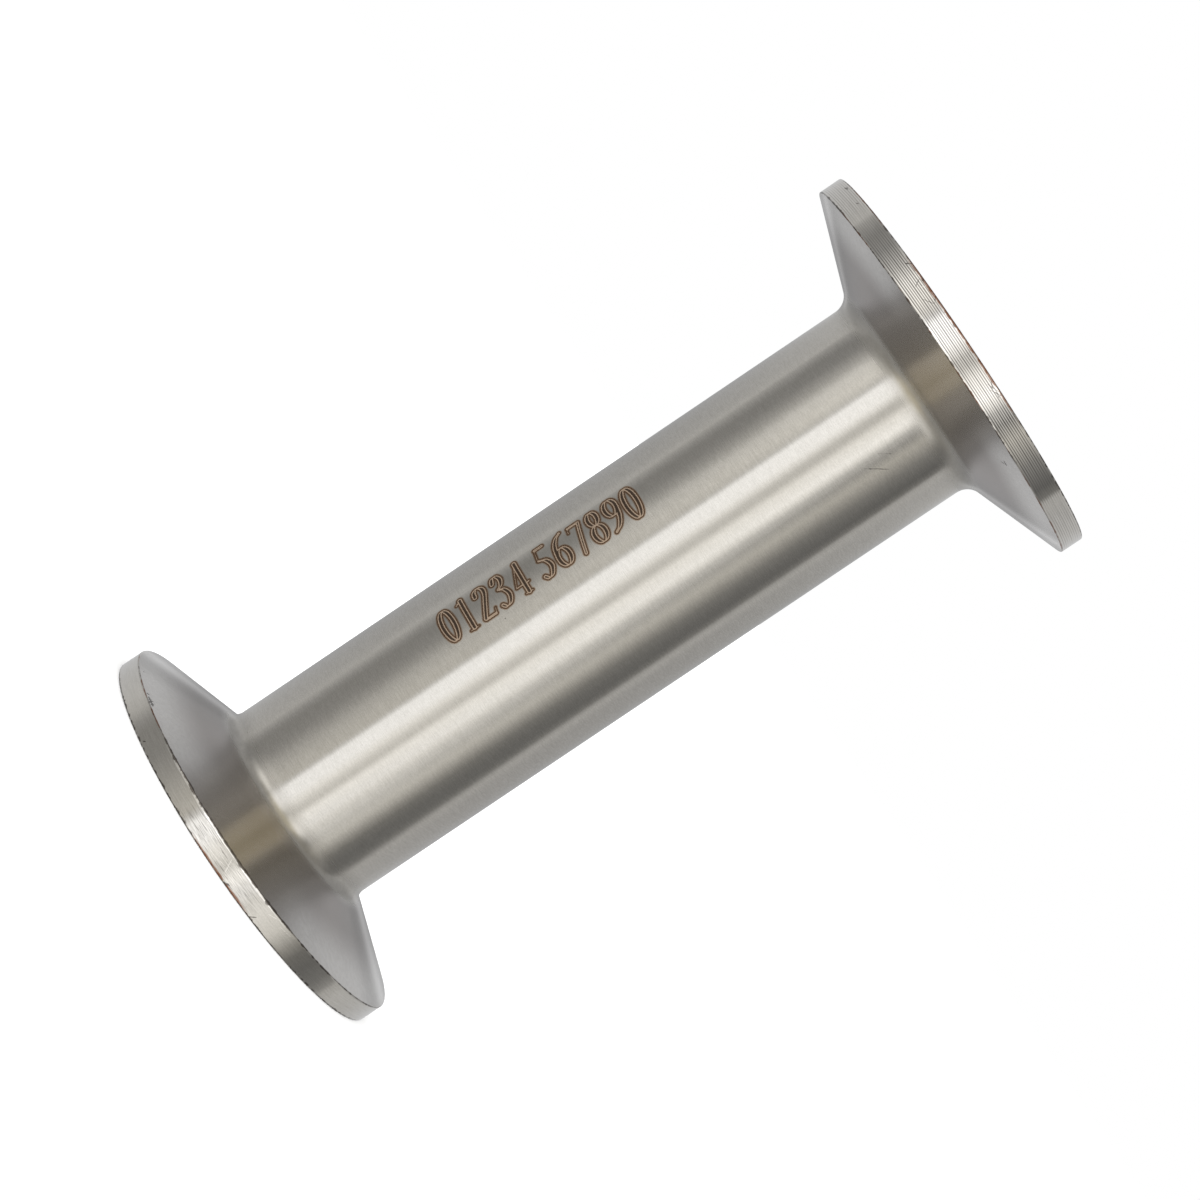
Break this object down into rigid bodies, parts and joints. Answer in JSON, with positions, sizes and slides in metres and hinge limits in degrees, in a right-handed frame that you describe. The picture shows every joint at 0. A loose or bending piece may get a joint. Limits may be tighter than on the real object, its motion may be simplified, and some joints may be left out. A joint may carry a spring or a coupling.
{
  "type": "sanitary spool pipe",
  "caption": "Straight stainless tube with a flared hygienic clamp flange on each end; a short removable length in a sanitary process line.",
  "frame": {"origin": "centre of the lower sealing face, on the flow axis; the spool stands on that face", "axes": "+Z is the flow axis, from the lower sealing face to the upper one; +X and +Y are alike, because the part is a body of revolution"},
  "size_m": [0.0505, 0.0504, 0.1016],
  "materials": {
    "stainless": "satin, finely brushed around the axis, with bright turned rims"
  },
  "bodies": {
    "root": {"spool_pipe": "stainless"}
  },
  "joints": []
}
